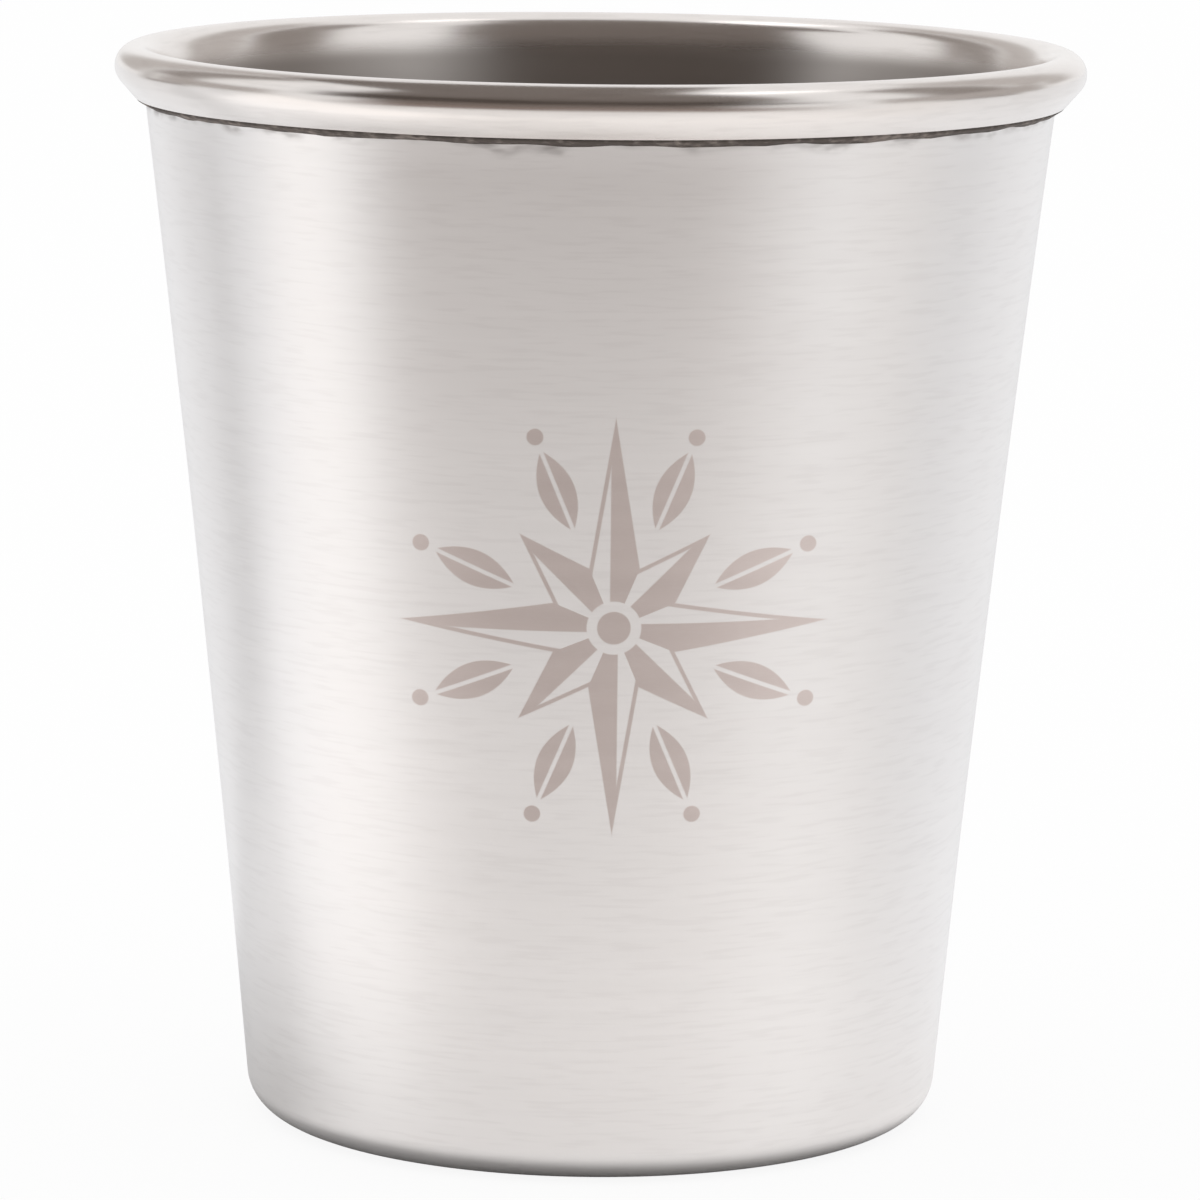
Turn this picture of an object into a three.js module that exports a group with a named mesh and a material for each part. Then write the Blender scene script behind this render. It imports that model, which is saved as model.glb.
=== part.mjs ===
// A stainless steel shot cup, pressed from thin sheet in millimetres, +Z up.
// A tapered outer shell stands on its turned-in foot, a pressed plate closes the foot from inside,
// and the lip of a drawn inner cup is rolled over the shell's flared edge, with a sealed seam below it.
// The origin is on the table, at the centre of the standing ring.
import * as THREE from 'three';

// The cup as a whole
const cupHeight = 54; // table to the top of the lip
const lipDiameter = 48.4; // across the outside of the lip
const footDiameter = 34.7; // across the shell's wall line, carried down to the table

// Outer shell
const shellSheet = 0.4; // gauge of the shell
const wallHollow = 0.2; // how far the wall bows in between the seam and the foot
const footCorner = 2; // outside radius between the wall and the standing ring
const standingRing = 2.8; // width of the flat ring that the cup stands on
const flareGrip = 0.8; // length of the shell's flared edge that the lip holds

// Rolled lip
const lipRoll = 2.1; // height of the roll from its top to its underside
const lipOverhang = 1.52; // how far the lip stands out beyond the shell's wall
const seamBelowRoll = 0.7; // underside of the roll to the bend where the shell's flare starts
const hookLift = 0.45; // that bend to the lip's free edge, along the flare
const lipGap = 0.1; // clearance between the lip's sheet and the shell on both sides

// Inner cup
const linerSheet = 0.4; // gauge of the inner cup
const footAirGap = 3; // air between the inner cup and the shell, at the inner cup's floor
const floorAirGap = 2.4; // air between the inner cup's floor and the base plate
const floorCorner = 4; // inside radius between the floor and the wall

// Base plate
const plateSheet = 0.4; // gauge of the plate
const plateInset = 0.6; // start of the shell's foot corner to the plate's edge
const plateGap = 0.05; // clearance between the plate and the standing ring under it
const dishInset = 0.9; // edge of the shell's hole to the foot of the plate's raised panel
const dishSlope = 1.1; // radial run of the slope up to the raised panel
const dishRise = 0.7; // height of the raised panel above the plate's flange

// Lip seal
const sealDrop = 0.4; // how far the compound comes down the wall below the bend
const sealGap = 0.04; // clearance between the compound and the sheets beside it

// Facets
const turnSteps = 64; // facets round the axis
const shellSteps = 4; // steps along each curve of the shell
const linerSteps = 6; // steps along each curve of the inner cup

const point = (radius, height) => new THREE.Vector2(radius, height);

// The body turned from a closed profile, which has its outer side drawn upwards
function turned(name, profile, color, roughness, metalness) {
  const geometry = new THREE.LatheGeometry(profile, turnSteps).rotateX(Math.PI / 2);
  const mesh = new THREE.Mesh(geometry, new THREE.MeshStandardMaterial({ color, roughness, metalness }));
  mesh.name = name;
  return mesh;
}

// The profile of a pressed sheet: one face of it, and the other face one gauge to the left
function sheetProfile(face, gauge) {
  const leftOf = (from, to) => to.clone().sub(from).normalize().rotateAround(point(0, 0), Math.PI / 2);
  const back = face.map((at, i) => {
    const before = i > 0 ? leftOf(face[i - 1], at) : leftOf(at, face[i + 1]);
    const after = i < face.length - 1 ? leftOf(at, face[i + 1]) : before;
    const mitre = before.clone().add(after).normalize();
    return at.clone().addScaledVector(mitre, gauge / mitre.dot(before));
  });
  const profile = [...face, ...back.reverse()];
  return face[0].x > 0 ? [...profile, face[0]] : profile;
}

// The centre of a corner between a level floor and the wall that leans outwards from its foot
function cornerCentre(foot, lean, radius) {
  return point(foot.x - (radius * (1 - Math.sin(lean))) / Math.cos(lean), foot.y + radius);
}

// Where the shell's wall runs, and how it leans at the foot
const foot = point(footDiameter / 2, 0);
const bend = point(lipDiameter / 2 - lipOverhang, cupHeight - lipRoll - seamBelowRoll);
const footLean = Math.atan2(bend.x - foot.x - 4 * wallHollow, bend.y);
const footCentre = cornerCentre(foot, footLean, footCorner);

function wallRadius(height) {
  const share = height / bend.y;
  return foot.x + (bend.x - foot.x) * share - 4 * wallHollow * share * (1 - share);
}

// The flare leaves the bend beside the lip's inner leg, so both lean alike
const rollRadius = lipRoll / 2;
const rollCentre = point(lipDiameter / 2 - rollRadius, cupHeight - rollRadius);
const bendToRoll = rollCentre.clone().sub(bend);
const flareFromRoll = rollRadius - linerSheet - lipGap - shellSheet;
const flareAngle = bendToRoll.angle() + Math.asin(flareFromRoll / bendToRoll.length());
const alongFlare = point(Math.cos(flareAngle), Math.sin(flareAngle));
const outOfFlare = point(Math.sin(flareAngle), -Math.cos(flareAngle));

// The lip's free edge lies under the roll, close to the flare, with its flank tangent to the roll
const hookEdge = bend.clone().addScaledVector(alongFlare, hookLift).addScaledVector(outOfFlare, lipGap);
const hookToRoll = rollCentre.clone().sub(hookEdge);
const rollInside = rollRadius - linerSheet;
const flankAngle = hookToRoll.angle() - Math.asin(rollInside / hookToRoll.length());
const alongFlank = point(Math.cos(flankAngle), Math.sin(flankAngle));
const outOfFlank = point(Math.sin(flankAngle), -Math.cos(flankAngle));

// Outer shell: standing ring, foot corner, bowed wall and flared top edge, drawn on its outside
const ringInside = footCentre.x - standingRing;
const wallFoot = footCentre.clone().add(point(Math.cos(footLean), -Math.sin(footLean)).multiplyScalar(footCorner));
const wallMiddle = (wallFoot.y + bend.y) / 2;
const wallPull = wallFoot.x + (wallMiddle - wallFoot.y) * Math.tan(footLean);
const flareEnd = bend.clone().addScaledVector(alongFlare, hookLift + flareGrip);
const shellFace = [
  point(ringInside, foot.y),
  ...new THREE.Path()
    .absarc(footCentre.x, footCentre.y, footCorner, -Math.PI / 2, -footLean, false)
    .quadraticCurveTo(wallPull, wallMiddle, bend.x, bend.y)
    .lineTo(flareEnd.x, flareEnd.y)
    .getPoints(shellSteps),
];
const outerShell = turned('outer_shell', sheetProfile(shellFace, shellSheet), '#d2cbc6', 0.32, 1);

// Base plate: a flange on the standing ring and a raised panel inside its hole, drawn on its underside
const plateFloor = shellSheet + plateGap;
const dishFoot = ringInside - dishInset;
const plateFace = [
  point(0, plateFloor + dishRise),
  point(dishFoot - dishSlope, plateFloor + dishRise),
  point(dishFoot, plateFloor),
  point(footCentre.x - plateInset, plateFloor),
];
const basePlate = turned('base_plate', sheetProfile(plateFace, plateSheet), '#c8c1bc', 0.38, 1);

// Inner cup: floor, wall, leg of the lip, roll and flank, drawn on the side that faces the shell
const linerFloor = plateFloor + dishRise + plateSheet + floorAirGap;
const linerFoot = point(wallRadius(linerFloor) - shellSheet - footAirGap, linerFloor);
const neck = bend.clone().addScaledVector(outOfFlare, -shellSheet - lipGap);
const linerLean = Math.atan2(neck.x - linerFoot.x, neck.y - linerFoot.y);
const linerCorner = floorCorner + linerSheet;
const linerCentre = cornerCentre(linerFoot, linerLean, linerCorner);
const rollStart = flareAngle + Math.PI / 2;
const rollEnd = flankAngle - Math.PI / 2;
const linerFace = [
  point(0, linerFloor),
  ...new THREE.Path()
    .absarc(linerCentre.x, linerCentre.y, linerCorner, -Math.PI / 2, -linerLean, false)
    .lineTo(neck.x, neck.y)
    .absarc(rollCentre.x, rollCentre.y, rollInside, rollStart, rollEnd, true)
    .lineTo(hookEdge.x, hookEdge.y)
    .getPoints(linerSteps),
];
const innerCup = turned('inner_cup', sheetProfile(linerFace, linerSheet), '#cdc5bf', 0.28, 1);

// Lip seal: compound in the crevice between the lip's cut edge and the shell, run down onto the wall
const sealFoot = bend.y - sealDrop;
const sealTip = hookEdge.clone().addScaledVector(alongFlank, -sealGap);
const sealProfile = [
  point(wallRadius(sealFoot) + sealGap, sealFoot),
  sealTip.clone().addScaledVector(outOfFlank, linerSheet),
  sealTip,
  bend.clone().addScaledVector(outOfFlare, sealGap),
  point(wallRadius(sealFoot) + sealGap, sealFoot),
];
const lipSeal = turned('lip_seal', sealProfile, '#4a423d', 0.7, 0);

const shotCup = new THREE.Group();
shotCup.add(outerShell, basePlate, innerCup, lipSeal);

export default shotCup;
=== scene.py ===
import math

import bpy
from mathutils import Matrix, Vector, noise


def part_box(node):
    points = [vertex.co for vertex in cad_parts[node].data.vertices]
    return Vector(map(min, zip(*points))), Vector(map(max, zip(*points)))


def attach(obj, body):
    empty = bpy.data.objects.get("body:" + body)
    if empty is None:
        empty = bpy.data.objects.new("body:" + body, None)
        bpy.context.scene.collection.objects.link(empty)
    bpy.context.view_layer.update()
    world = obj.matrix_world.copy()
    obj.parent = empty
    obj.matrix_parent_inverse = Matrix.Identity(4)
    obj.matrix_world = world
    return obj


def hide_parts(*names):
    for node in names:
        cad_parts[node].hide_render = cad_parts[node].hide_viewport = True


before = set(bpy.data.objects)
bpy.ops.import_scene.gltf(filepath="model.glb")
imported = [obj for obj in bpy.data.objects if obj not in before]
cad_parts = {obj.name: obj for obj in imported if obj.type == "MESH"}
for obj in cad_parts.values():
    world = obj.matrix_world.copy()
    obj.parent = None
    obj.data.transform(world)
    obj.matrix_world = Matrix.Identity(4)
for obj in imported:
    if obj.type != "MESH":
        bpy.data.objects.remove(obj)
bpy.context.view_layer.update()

# Outer shell: the tapered outside wall, drawn from thin stainless sheet and brushed round its axis.
# The foot turns in to a flat standing ring, the top edge is flared so that the lip can grip it,
# and a rosette is etched into the front.
MM = 0.001
lip_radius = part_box("inner_cup")[1].x / MM
cup_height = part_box("inner_cup")[1].z / MM
foot_radius = 17.35
shell_sheet = 0.4
wall_hollow = 0.2
foot_corner = 2.0
standing_ring = 2.8
lip_roll = 2.1
lip_overhang = 1.52
seam_below_roll = 0.7
hook_lift = 0.45
flare_grip = 0.8
lip_gap = 0.1
liner_sheet = 0.4
cut_edge = 0.1
shell_waver = 0.02
shell_patch = 9.0
turn_steps = 288
wall_rings = 28
arc_step = math.radians(7)


def arc(centre, radius, start, end):
    """Points along an arc about centre, from angle start to angle end."""
    count = math.ceil(abs(end - start) / arc_step)
    angles = [start + (end - start) * i / count for i in range(count + 1)]
    return [centre + radius * Vector((math.cos(a), math.sin(a))) for a in angles]


def on_axis(at):
    """Whether a point of an outline lies on the cup's axis."""
    return at.x < 1e-6


def left_of(a, b):
    """The unit vector to the left of the way from a to b."""
    along = (b - a).normalized()
    return Vector((-along.y, along.x))


def eased(corner, neighbour, across):
    """The rounded edge at a cut corner of the sheet, from the side of its neighbour to the cut."""
    into_sheet = (neighbour - corner).normalized()
    centre = corner + (into_sheet + across) * cut_edge
    turns = [math.radians(step) for step in (0, 30, 60, 90)]
    return [centre - cut_edge * (across * math.cos(t) + into_sheet * math.sin(t)) for t in turns]


def sheet_profile(face, gauge):
    """The closed outline of a pressed sheet: its face, and its back one gauge to the left of it."""
    back = []
    for i, at in enumerate(face):
        before = left_of(face[max(i - 1, 0)], face[max(i, 1)])
        after = left_of(face[min(i, len(face) - 2)], face[min(i + 1, len(face) - 1)])
        mitre = (before + after).normalized()
        back.append(at + mitre * (gauge / mitre.dot(before)))
    across = (back[-1] - face[-1]).normalized()
    far_end = eased(face[-1], face[-2], across) + eased(back[-1], back[-2], -across)[::-1]
    outline = face[1:-1] + far_end + back[-2:0:-1]
    if on_axis(face[0]):
        return [face[0]] + outline + [back[0]]
    across = (back[0] - face[0]).normalized()
    return eased(face[0], face[1], across)[::-1] + outline + eased(back[0], back[1], -across)


def turned(name, profile, waver=0.0, patch=1.0):
    """A mesh object turned from a closed outline, or from one that starts and ends on the axis.

    Above the foot's corner it strays from round by up to waver, in patches of about that size."""
    points, faces, rows = [], [], []
    for at in profile:
        count = 1 if on_axis(at) else turn_steps
        rows.append(range(len(points), len(points) + count))
        for i in range(count):
            angle = 2 * math.pi * i / turn_steps
            way = Vector((math.sin(angle), -math.cos(angle), 0))
            spot = way * at.x + Vector((0, 0, at.y))
            stray = waver * noise.noise(spot / patch) if at.y > foot_corner else 0.0
            points.append((spot + way * stray) * MM)
    closing = [] if on_axis(profile[0]) else [rows[0]]
    for low, high in zip(rows, rows[1:] + closing):
        for i in range(turn_steps):
            k = (i + 1) % turn_steps
            corners = [low[i % len(low)], low[k % len(low)], high[k % len(high)], high[i % len(high)]]
            faces.append(list(dict.fromkeys(corners)))
    mesh = bpy.data.meshes.new(name)
    mesh.from_pydata(points, [], faces)
    mesh.shade_smooth()
    piece = bpy.data.objects.new(name, mesh)
    bpy.context.scene.collection.objects.link(piece)
    return piece


bend = Vector((lip_radius - lip_overhang, cup_height - lip_roll - seam_below_roll))
foot = Vector((foot_radius, 0.0))
foot_lean = math.atan2(bend.x - foot.x - 4 * wall_hollow, bend.y)
corner_run = foot_corner * (1 - math.sin(foot_lean)) / math.cos(foot_lean)
foot_centre = Vector((foot.x - corner_run, foot_corner))
ring_inside = foot_centre.x - standing_ring


def wall_radius(height):
    """The radius of the shell's outside at that height."""
    share = height / bend.y
    return foot.x + (bend.x - foot.x) * share - 4 * wall_hollow * share * (1 - share)


roll_radius = lip_roll / 2
roll_centre = Vector((lip_radius - roll_radius, cup_height - roll_radius))
bend_to_roll = roll_centre - bend
flare_from_roll = roll_radius - liner_sheet - lip_gap - shell_sheet
flare_angle = math.atan2(bend_to_roll.y, bend_to_roll.x) + math.asin(flare_from_roll / bend_to_roll.length)
along_flare = Vector((math.cos(flare_angle), math.sin(flare_angle)))
out_of_flare = Vector((math.sin(flare_angle), -math.cos(flare_angle)))

corner_arc = arc(foot_centre, foot_corner, -math.pi / 2, -foot_lean)
wall_start = corner_arc[-1].y
heights = [wall_start + (bend.y - wall_start) * i / wall_rings for i in range(1, wall_rings + 1)]
shell_face = [Vector((ring_inside, 0.0))] + corner_arc
shell_face += [Vector((wall_radius(height), height)) for height in heights]
shell_face += [bend + along_flare * (hook_lift + flare_grip)]
shell = turned("brushed_shell", sheet_profile(shell_face, shell_sheet), shell_waver, shell_patch)


class Wire:
    """An output socket: operators add Math nodes, and node() adds any other node to the same tree."""

    def __init__(self, tree, socket=None):
        self.tree = tree
        self.socket = socket

    def node(self, kind, settings=None, inputs=None, out=0):
        made = self.tree.nodes.new(kind)
        for name, value in (settings or {}).items():
            setattr(made, name, value)
        self.feed(made, inputs or {})
        return Wire(self.tree, made.outputs[out])

    def feed(self, made, inputs):
        for name, value in inputs.items():
            if isinstance(value, Wire):
                self.tree.links.new(value.socket, made.inputs[name])
            else:
                made.inputs[name].default_value = value

    def math(self, operation, *values):
        return self.node("ShaderNodeMath", {"operation": operation}, dict(enumerate(values)))

    def __add__(self, other):
        return self.math("ADD", self, other)

    def __sub__(self, other):
        return self.math("SUBTRACT", self, other)

    def __rsub__(self, other):
        return self.math("SUBTRACT", other, self)

    def __mul__(self, other):
        return self.math("MULTIPLY", self, other)

    def __truediv__(self, other):
        return self.math("DIVIDE", self, other)

    def __rtruediv__(self, other):
        return self.math("DIVIDE", other, self)

    def __pow__(self, other):
        return self.math("POWER", self, other)

    def __abs__(self):
        return self.math("ABSOLUTE", self)

    __radd__ = __add__
    __rmul__ = __mul__

    def cosine(self):
        return self.math("COSINE", self)

    def sine(self):
        return self.math("SINE", self)

    def or_more(self, other):
        return self.math("MAXIMUM", self, other)

    def clamped(self):
        return self.node("ShaderNodeClamp", inputs={"Value": self})

    def blurred_step(self, edge, width):
        """0 below edge and 1 above it, with a soft change of that width between."""
        inputs = {"Value": self, "From Min": edge - width / 2, "From Max": edge + width / 2}
        return self.node("ShaderNodeMapRange", {"interpolation_type": "SMOOTHSTEP"}, inputs)

    def mixed(self, a, b):
        """Colour a where this wire is 0 and colour b where it is 1."""
        return self.node("ShaderNodeMix", {"data_type": "RGBA"}, {0: self, 6: a, 7: b}, out=2)


def distance(across, along):
    """The length of the way that goes so far across and so far along."""
    return (across * across + along * along) ** 0.5


def new_material(name):
    """A material, a wire to start its nodes from, and its Principled shader."""
    material = bpy.data.materials.new(name)
    material.use_nodes = True
    return material, Wire(material.node_tree), material.node_tree.nodes["Principled BSDF"]


def place_in_mm(start):
    """The place on the piece in millimetres, as a vector and as its x, y and z."""
    place = start.node("ShaderNodeTexCoord", out="Object")
    place = start.node("ShaderNodeVectorMath", {"operation": "SCALE"}, {0: place, "Scale": 1 / MM})
    parts = start.node("ShaderNodeSeparateXYZ", inputs={0: place})
    return place, [Wire(start.tree, socket) for socket in parts.socket.node.outputs]


def grain(place, around, along, detail=2.0):
    """Noise of about 0 to 1: one feature per so many millimetres around the axis and along it."""
    inputs = {0: place, 1: (1 / around, 1 / around, 1 / along)}
    stretched = place.node("ShaderNodeVectorMath", {"operation": "MULTIPLY"}, inputs)
    return place.node("ShaderNodeTexNoise", inputs={"Vector": stretched, "Scale": 1.0, "Detail": detail})


def relief(height, strength, depth):
    """The surface's normal over bumps of that height, at most so many millimetres deep."""
    inputs = {"Strength": strength, "Distance": depth * MM, "Height": height}
    return height.node("ShaderNodeBump", inputs=inputs)


def brushed_steel(place, tint, shade, roughness):
    """Colour, roughness and height of steel brushed round the axis."""
    hairlines = grain(place, around=14.0, along=0.3, detail=0.0)
    lines = grain(place, around=18.0, along=0.8, detail=0.0)
    clouds = grain(place, around=7.0, along=4.0)
    dashes = grain(place, around=2.4, along=0.22, detail=1.0).blurred_step(0.6, 0.25)
    tone = (hairlines * 0.2 + lines * 0.4 + clouds * 0.5 - dashes * 0.28 - 0.03).clamped()
    rough = roughness + (lines - 0.5) * 0.08 + (clouds - 0.5) * 0.06
    return tone.mixed(shade, tint), rough, lines


mark_place = (0.9, 27.9)
mark_line = 0.2
mark_blur = 0.08
rays = 8
ray_tip = 10.2
short_ray_tip = 6.4
ray_waist = 2.9
leaf_middle = 7.2
leaf_half = 2.1
leaf_width = 0.85
dot_place = 10.0
dot_radius = 0.4
hub_radius = 1.3
eye_radius = 0.8
ray_turn = 2 * math.pi / rays


def etched_ray(radius, bearing, tip):
    """1 where a ray is etched: one half is full, and the other only along its rim and its spine."""
    along = radius * bearing.cosine()
    aside = radius * bearing.sine()
    taper = ray_waist * math.tan(ray_turn / 2) / (tip - ray_waist)
    inwards = (tip - along) * taper - abs(aside)
    full_half = aside.blurred_step(0.0, mark_blur)
    rim = 1 - inwards.blurred_step(mark_line, mark_blur)
    spine = 1 - abs(aside).blurred_step(mark_line, mark_blur)
    return inwards.blurred_step(0.0, mark_blur) * full_half.or_more(rim.or_more(spine))


def etched_leaf(radius, bearing):
    """1 where a leaf with a bare midrib, or the dot beyond its tip, is etched between two rays."""
    from_leaf = abs(bearing) - ray_turn / 2
    along = radius * from_leaf.cosine()
    aside = abs(radius * from_leaf.sine())
    reach = (along - leaf_middle) / leaf_half
    inwards = leaf_width * (1 - reach * reach) - aside
    leaf = inwards.blurred_step(0.0, mark_blur) * aside.blurred_step(mark_line / 2, mark_blur)
    dot = 1 - distance(along - dot_place, aside).blurred_step(dot_radius, mark_blur)
    return leaf.or_more(dot)


def etched_rosette(x, y, z):
    """1 where the rosette is etched: a star of long and short rays, leaves between them and a hub."""
    across = x - mark_place[0]
    up = z - mark_place[1]
    radius = distance(across, up)
    turn = across.math("ARCTAN2", across, up) / ray_turn
    sector = turn.math("ROUND", turn)
    bearing = (turn - sector) * ray_turn
    short = abs(sector.math("MODULO", sector, 2.0))
    tip = ray_tip - (ray_tip - short_ray_tip) * short
    star = etched_ray(radius, bearing, tip).or_more(etched_leaf(radius, bearing))
    outside_hub = radius.blurred_step(hub_radius, mark_blur)
    eye = 1 - radius.blurred_step(eye_radius, mark_blur)
    front = 1 - y.blurred_step(0.0, 1.0)
    return (star * outside_hub).or_more(eye) * front


steel_tint = (0.865, 0.845, 0.835, 1)
steel_shade = (0.765, 0.74, 0.73, 1)
etched_tint = (0.76, 0.675, 0.645, 1)
below_seam_tint = (0.10, 0.075, 0.06, 1)

material, start, shader = new_material("brushed_shell_steel")
place, (x, y, z) = place_in_mm(start)
colour, rough, height = brushed_steel(place, steel_tint, steel_shade, roughness=0.335)
pitted = (0.86 + 0.28 * grain(place, around=0.5, along=0.12)).clamped()
etched = etched_rosette(x, y, z) * pitted
# Darker, rougher blotches just below the seam, reaching down by an uneven amount.
below_seam_reach = grain(place, around=2.6, along=30.0) * 1.6 - 0.4
below_seam_blotch = (z - bend.y + below_seam_reach).blurred_step(0.2, 0.6)
below_seam_blotch = below_seam_blotch * grain(place, around=1.6, along=0.5).blurred_step(0.5, 0.35)
colour = (below_seam_blotch * 0.4).mixed(etched.mixed(colour, etched_tint), below_seam_tint)
rough = rough + etched * 0.22 + below_seam_blotch * 0.2
normal = relief(height - etched, strength=0.03, depth=0.02)
start.feed(shader, {"Base Color": colour, "Roughness": rough, "Metallic": 1.0, "Normal": normal})
start.feed(shader, {"Anisotropic": 0.7, "Anisotropic Rotation": 0.25})
shell.data.materials.append(material)
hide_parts("outer_shell")
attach(shell, "root")

# Base plate: a pressed disc of the same sheet that closes the hole in the shell's foot.
# Its flange lies on the standing ring from inside and is spot-welded there, and the panel is raised
# to stiffen it.
plate_sheet = 0.4
plate_gap = 0.05
plate_inset = 0.6
dish_inset = 0.9
dish_slope = 1.1
dish_rise = 0.7
dish_bend = 0.6
plate_tint = (0.68, 0.645, 0.62, 1)
plate_shade = (0.56, 0.53, 0.50, 1)


def rounded(points, radius):
    """The same open line with each inner corner turned into an arc of that radius."""
    line = [points[0]]
    for before, at, after in zip(points, points[1:], points[2:]):
        back_way, on_way = (before - at).normalized(), (after - at).normalized()
        half = back_way.angle(on_way) / 2
        centre = at + (back_way + on_way).normalized() * (radius / math.sin(half))
        first = at + back_way * (radius / math.tan(half)) - centre
        last = at + on_way * (radius / math.tan(half)) - centre
        start_angle = math.atan2(first.y, first.x)
        turn = (math.atan2(last.y, last.x) - start_angle + math.pi) % (2 * math.pi) - math.pi
        line += arc(centre, radius, start_angle, start_angle + turn)
    return line + [points[-1]]


plate_floor = shell_sheet + plate_gap
dish_foot = ring_inside - dish_inset
plate_line = [
    Vector((0.0, plate_floor + dish_rise)),
    Vector((dish_foot - dish_slope, plate_floor + dish_rise)),
    Vector((dish_foot, plate_floor)),
    Vector((foot_centre.x - plate_inset, plate_floor)),
]
plate = turned("base_disc", sheet_profile(rounded(plate_line, dish_bend), plate_sheet))

material, start, shader = new_material("pressed_plate_steel")
place, (x, y, z) = place_in_mm(start)
ring_place = start.node("ShaderNodeCombineXYZ", inputs={0: distance(x, y), 1: 0.0, 2: 0.0})
rings = start.node("ShaderNodeTexNoise", inputs={"Vector": ring_place, "Scale": 4.0, "Detail": 4.0})
blotches = grain(place, around=3.0, along=3.0, detail=4.0)
colour = (rings * 0.6 + blotches * 0.6 - 0.1).clamped().mixed(plate_shade, plate_tint)
rough = 0.4 + (rings - 0.5) * 0.14 + (blotches - 0.5) * 0.08
normal = relief(rings, strength=0.1, depth=0.03)
start.feed(shader, {"Base Color": colour, "Roughness": rough, "Metallic": 1.0, "Normal": normal})
plate.data.materials.append(material)
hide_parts("base_plate")
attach(plate, "root")

# Inner cup: the drawn stainless liner that holds the drink, brushed and polished like the shell, and
# painted darker inside as painted shade.
# Its lip is rolled outwards and down over the shell's flared edge, hooks under it and carries the liner.
foot_air_gap = 3.0
floor_air_gap = 2.4
floor_corner = 4.0
lip_band = 1.68
lip_lean = math.radians(20)
neck_bend = 5.0
liner_waver = 0.025
liner_patch = 6.0
liner_tint = (0.84, 0.80, 0.775, 1)
liner_shade = (0.72, 0.68, 0.655, 1)
painted_inside_shade = (0.44, 0.41, 0.39, 1)

hook_edge = bend + along_flare * hook_lift + out_of_flare * lip_gap
hook_to_roll = roll_centre - hook_edge
roll_inside = roll_radius - liner_sheet
flank_angle = math.atan2(hook_to_roll.y, hook_to_roll.x) - math.asin(roll_inside / hook_to_roll.length)
along_flank = Vector((math.cos(flank_angle), math.sin(flank_angle)))
out_of_flank = Vector((math.sin(flank_angle), -math.cos(flank_angle)))
liner_floor = plate_floor + dish_rise + plate_sheet + floor_air_gap
liner_foot = Vector((wall_radius(liner_floor) - shell_sheet - foot_air_gap, liner_floor))
up_band = Vector((math.sin(lip_lean), math.cos(lip_lean)))
band_top = roll_centre + roll_inside * Vector((-math.cos(lip_lean), math.sin(lip_lean)))
neck = band_top - up_band * ((band_top.y - cup_height + lip_band) / up_band.y)
liner_lean = math.atan2(neck.x - liner_foot.x, neck.y - liner_foot.y)
liner_corner = floor_corner + liner_sheet
liner_run = liner_corner * (1 - math.sin(liner_lean)) / math.cos(liner_lean)
liner_centre = Vector((liner_foot.x - liner_run, liner_floor + liner_corner))
liner_arc = arc(liner_centre, liner_corner, -math.pi / 2, -liner_lean)
liner_face = [Vector((0.0, liner_floor))] + liner_arc
liner_face += [liner_arc[-1].lerp(neck, i / wall_rings) for i in range(1, wall_rings)]
liner_face += rounded([liner_face[-1], neck, band_top], neck_bend)[1:-1]
liner_face += arc(roll_centre, roll_inside, math.pi - lip_lean, flank_angle - math.pi / 2) + [hook_edge]
liner = turned("drawn_liner", sheet_profile(liner_face, liner_sheet), liner_waver, liner_patch)

material, start, shader = new_material("polished_liner_steel")
place, (x, y, z) = place_in_mm(start)
colour, rough, height = brushed_steel(place, liner_tint, liner_shade, roughness=0.22)
# Painted shade: below the lip band the liner's inside is painted much darker, and made rougher, for the
# dark inside of the cup.
below_band = 1 - z.blurred_step(neck.y, 1.4)
inside = below_band * (1 - distance(x, y).blurred_step(neck.x + 0.5, 0.3))
colour = inside.mixed(colour, painted_inside_shade)
rough = rough + inside * 0.12
normal = relief(height, strength=0.05, depth=0.02)
start.feed(shader, {"Base Color": colour, "Roughness": rough, "Metallic": 1.0, "Normal": normal})
start.feed(shader, {"Anisotropic": 0.4, "Anisotropic Rotation": 0.25})
liner.data.materials.append(material)
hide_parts("inner_cup")
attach(liner, "root")

# Lip seal: a thin bead of dark sealing compound, wiped into the crevice under the lip's cut edge.
# It holds by sticking to both sheets, and its lower edge is uneven where it was wiped.
seal_drop = 0.12
seal_gap = 0.04
seal_stray = 0.11
seal_tint = (0.075, 0.058, 0.048, 1)
seal_worn = (0.26, 0.215, 0.19, 1)

seal_tip = hook_edge - along_flank * seal_gap
seal_line = [
    Vector((bend.x, bend.y - seal_drop)),
    seal_tip + out_of_flank * liner_sheet,
    seal_tip,
    bend + out_of_flare * seal_gap,
]
seal = turned("seam_compound", seal_line)
lower_edge = seal.data.vertices[:turn_steps]
for vertex in lower_edge:
    way = Vector((vertex.co.x, vertex.co.y, 0)).normalized()
    wiped = noise.noise(way * 9) + 0.4 * noise.noise(way * 22)
    height = bend.y - seal_drop + seal_stray * wiped
    vertex.co = (way * (wall_radius(height) + seal_gap) + Vector((0, 0, height))) * MM

material, start, shader = new_material("sealing_compound")
place, (x, y, z) = place_in_mm(start)
crumbs = grain(place, around=0.5, along=0.3, detail=4.0)
worn = crumbs * 0.5 + grain(place, around=5.0, along=5.0) * 0.5
colour = worn.blurred_step(0.55, 0.2).mixed(seal_tint, seal_worn)
rough = 0.55 + crumbs * 0.3
normal = relief(crumbs, strength=0.5, depth=0.1)
start.feed(shader, {"Base Color": colour, "Roughness": rough, "Metallic": 0.0, "Normal": normal})
seal.data.materials.append(material)
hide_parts("lip_seal")
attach(seal, "root")

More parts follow.
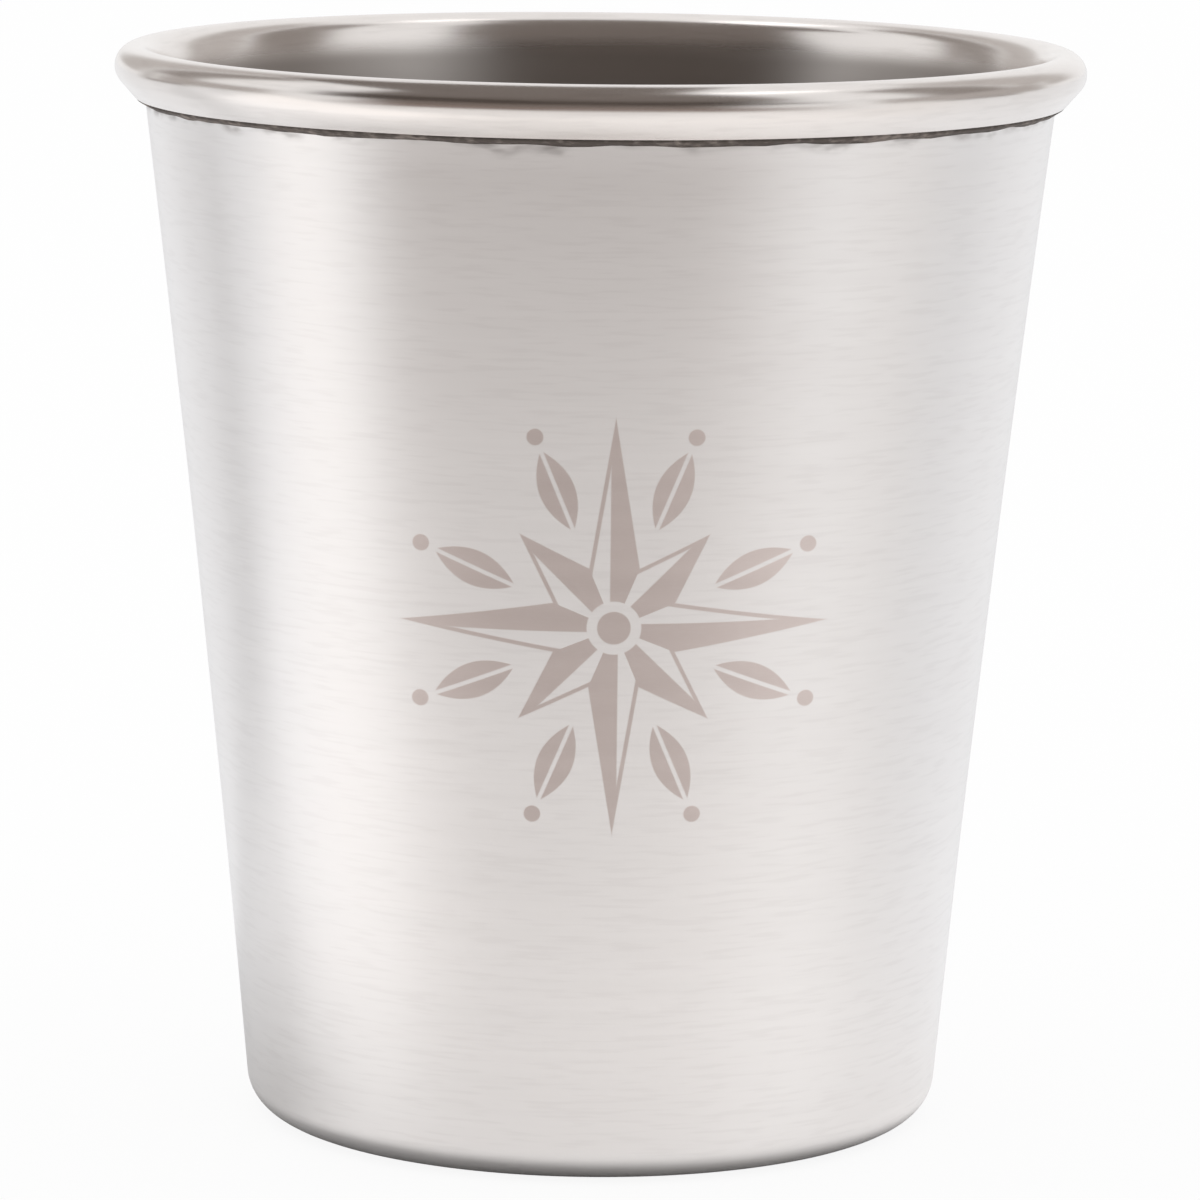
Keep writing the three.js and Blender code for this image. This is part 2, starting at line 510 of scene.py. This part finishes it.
# Floor: a wide pale sheet that the cup stands on, seen as plain white with the cup's own shadow on it.
# In the steel it shows painted light: lighter strips as pools of lamplight, a darker strip as the cup's
# cast shadow, and painted shade close to the foot.
floor_half = 3.0
floor_gap = 0.00005
floor_tint = (0.9, 0.9, 0.9, 1)
plain_white = (1, 1, 1, 1)
painted_warm_reflection = (1, 0.975, 0.955, 1)
painted_cool_reflection = (0.95, 0.97, 1, 1)


def level_sheet(name, across, back, height):
    """A flat level sheet at that height, from left to right and from front to rear."""
    (left, right), (front, rear) = across, back
    corners = [(left, front, height), (right, front, height), (right, rear, height), (left, rear, height)]
    mesh = bpy.data.meshes.new(name)
    mesh.from_pydata(corners, [], [(0, 1, 2, 3)])
    made = bpy.data.objects.new(name, mesh)
    bpy.context.scene.collection.objects.link(made)
    return made


def ray_kind(start, kind):
    """1 for rays of that kind."""
    return start.node("ShaderNodeLightPath", out=f"Is {kind} Ray")


def compass(azimuth):
    """The level direction at that many degrees from the camera's side, positive to its right."""
    turn = math.radians(azimuth)
    return Vector((math.sin(turn), -math.cos(turn), 0))


def strip(x, y, azimuth, shift, half, soft, near):
    """1 in a soft-edged strip of the floor that runs away from the cup, from that near end outwards."""
    along, aside = compass(azimuth), compass(azimuth + 90)
    way_out = x * along.x + y * along.y
    off_line = abs(x * aside.x + y * aside.y - shift)
    return (1 - off_line.blurred_step(half, soft)) * way_out.blurred_step(near, near)


floor = level_sheet("floor", (-floor_half, floor_half), (-floor_half, floor_half), -floor_gap)

material, start, shader = new_material("pale_floor")
place, (x, y, z) = place_in_mm(start)
from_axis = distance(x, y)
# Painted light and shade, seen only in reflections: the bright strips and the glow near the cup stand in
# for pools of lamplight, the dim strip for the cup's cast shadow towards its left rear, and the dark disc
# under the foot for its contact shadow.
painted_light_strip = strip(x, y, azimuth=-80, shift=4.0, half=41.0, soft=22.0, near=34.0)
painted_shadow_strip = strip(x, y, azimuth=-113, shift=0.0, half=20.0, soft=16.0, near=12.0)
painted_shadow_strip = painted_shadow_strip * (1 - 0.6 * from_axis.blurred_step(50.0, 60.0))
painted_right_light = strip(x, y, azimuth=38, shift=0.0, half=32.0, soft=50.0, near=20.0)
painted_near_light = 1 - from_axis.blurred_step(70.0, 80.0)
outside_painted_foot_shadow = distance(x + 0.4, y).blurred_step(17.7, 1.6)
painted_light_and_shade = 1 + painted_light_strip * 0.56 - painted_shadow_strip * 0.74 + painted_right_light * 0.16 + painted_near_light * 0.17
seen = ray_kind(start, "Camera")
mirrored = (ray_kind(start, "Glossy") + ray_kind(start, "Transmission")).clamped()
# Reflected rays also see a painted warm tint in front of the cup and a cool one behind it.
colour = mirrored.mixed(plain_white, y.blurred_step(0.0, 80.0).mixed(painted_warm_reflection, painted_cool_reflection))
inputs = {0: colour, "Scale": seen + mirrored * painted_light_and_shade * outside_painted_foot_shadow}
glow = start.node("ShaderNodeVectorMath", {"operation": "SCALE"}, inputs)
white = start.node("ShaderNodeEmission", inputs={"Color": glow, "Strength": 1.0})
share = seen * 0.9 + mirrored * 0.5
start.feed(shader, {"Base Color": floor_tint, "Roughness": 0.9, "Specular IOR Level": 0.0})
lit = start.node("ShaderNodeMixShader", inputs={0: share, 1: Wire(start.tree, shader.outputs[0]), 2: white})
start.feed(start.tree.nodes["Material Output"], {"Surface": lit})
floor.data.materials.append(material)

# Studio light: a white surround, with two soft boxes hung high at the sides for the soft shadow.
# Boards stand and hang round the cup, glowing in dark and grey without being lit, and show only as
# reflections:
# painted reflections that give the lip, the inside and the wall their darker stripes.
box_distance = 0.5
box_low = 1.0
box_high = 1.8
box_width = 0.7
near_boards = 0.18
side_boards = 0.6
rear_boards = 0.62
board_step = 6
overhead_across = (-0.042, 0.013)
overhead_back = (-0.045, 0.014)
overhead_height = 0.1
black_reflection = (0.08, 0.065, 0.056, 1)
dark_reflection = (0.19, 0.165, 0.15, 1)
brown_reflection = (0.21, 0.175, 0.157, 1)
warm_board_reflection = (0.25, 0.195, 0.17, 1)
side_reflection = (0.30, 0.27, 0.25, 1)
grey_reflection = (0.5, 0.47, 0.45, 1)
rear_reflection = (0.58, 0.55, 0.53, 1)

world = bpy.data.worlds.new("white_surround")
world.use_nodes = True
bpy.context.scene.world = world
Wire(world.node_tree).feed(world.node_tree.nodes["Background"], {"Color": plain_white, "Strength": 1.0})


def soft_box(name, azimuth, radiance):
    """An upright lamp panel that faces the cup's axis."""
    lamp = bpy.data.lights.new(name, "AREA")
    lamp.shape = "RECTANGLE"
    lamp.size = box_width
    lamp.size_y = box_high - box_low
    lamp.energy = radiance * math.pi * box_width * (box_high - box_low)
    box = bpy.data.objects.new(name, lamp)
    box.location = compass(azimuth) * box_distance + Vector((0, 0, (box_low + box_high) / 2))
    box.rotation_euler = (math.pi / 2, 0, math.radians(azimuth))
    bpy.context.scene.collection.objects.link(box)


def hung(board, material, start, colour):
    """Hang up a board that glows in that colour and only reflections show: a painted reflection."""
    board.visible_camera = False
    board.visible_diffuse = False
    board.visible_shadow = False
    glow = start.node("ShaderNodeEmission", inputs={"Color": colour, "Strength": 1.0})
    start.feed(start.tree.nodes["Material Output"], {"Surface": glow})
    board.data.materials.append(material)


def screen(name, azimuths, fades, radius, heights, tint):
    """An upright board bent about the cup at that radius, between two azimuths and two heights.

    Its left and right ends fade into the white surround, each over that many degrees."""
    count = math.ceil((azimuths[1] - azimuths[0]) / board_step)
    turns = [azimuths[0] + (azimuths[1] - azimuths[0]) * i / count for i in range(count + 1)]
    points = [compass(turn) * radius + Vector((0, 0, height)) for turn in turns for height in heights]
    mesh = bpy.data.meshes.new(name)
    mesh.from_pydata(points, [], [(2 * i, 2 * i + 1, 2 * i + 3, 2 * i + 2) for i in range(count)])
    board = bpy.data.objects.new(name, mesh)
    bpy.context.scene.collection.objects.link(board)
    material, start, _ = new_material(name)
    _, (x, y, _) = place_in_mm(start)
    middle, half = sum(azimuths) / 2, (azimuths[1] - azimuths[0]) / 2
    along, aside = compass(middle), compass(middle + 90)
    turn = x.math("ARCTAN2", x * aside.x + y * aside.y, x * along.x + y * along.y) * math.degrees(1)
    from_left = turn.blurred_step(fades[0] / 2 - half, fades[0])
    from_right = 1 - turn.blurred_step(half - fades[1] / 2, fades[1])
    hung(board, material, start, (from_left * from_right).mixed(plain_white, tint))


soft_box("left_soft_box", azimuth=-88, radiance=1.0)
soft_box("right_soft_box", azimuth=63, radiance=0.9)
screen("front_screen_foot", (-68, 66), (26, 40), near_boards, (0.0, 0.045), warm_board_reflection)
screen("front_screen", (-62, 44), (16, 24), near_boards, (0.045, 0.085), brown_reflection)
screen("front_screen_dark", (-74, 60), (16, 22), near_boards, (0.085, 0.1), black_reflection)
screen("front_screen_upper", (-74, 54), (16, 26), near_boards, (0.1, 0.15), black_reflection)
screen("left_side_band", (-125, -74), (8, 8), near_boards, (0.05, 0.1), grey_reflection)
screen("right_side_band", (60, 125), (8, 8), near_boards, (0.05, 0.1), grey_reflection)
screen("front_screen_head", (-68, 52), (12, 12), near_boards, (0.15, 0.6), dark_reflection)
screen("left_side_screen", (-138, -107), (8, 8), side_boards, (0.0, 0.8), side_reflection)
screen("right_side_screen", (80, 117), (8, 8), side_boards, (0.0, 0.8), side_reflection)
screen("left_rear_screen", (-166, -130), (10, 8), rear_boards, (0.1, 0.8), rear_reflection)
screen("right_rear_screen", (110, 150), (8, 10), rear_boards, (0.1, 0.8), rear_reflection)
overhead = level_sheet("overhead_screen", overhead_across, overhead_back, overhead_height)
material, start, _ = new_material("overhead_screen")
hung(overhead, material, start, dark_reflection)

# Camera: a long lens a little above the lip, as far off as the photograph's perspective tells.
# It looks down at the front of the cup, with a slight turn and roll.
camera_distance = 0.32834
camera_height = 0.079416
camera_pitch = math.radians(9.242)
camera_yaw = math.radians(0.0418)
camera_roll = math.radians(0.613)
lens_length = 197.36
sensor_width = 36.0

lens = bpy.data.cameras.new("camera")
lens.sensor_width = sensor_width
lens.lens = lens_length
lens.clip_start = 0.01
camera = bpy.data.objects.new("camera", lens)
turn = Matrix.Rotation(-camera_yaw, 4, "Z") @ Matrix.Rotation(math.pi / 2 - camera_pitch, 4, "X")
turn = turn @ Matrix.Rotation(camera_roll, 4, "Z")
camera.matrix_world = Matrix.Translation((0, -camera_distance, camera_height)) @ turn
bpy.context.scene.collection.objects.link(camera)
bpy.context.scene.camera = camera
bpy.context.scene.view_settings.view_transform = "Standard"
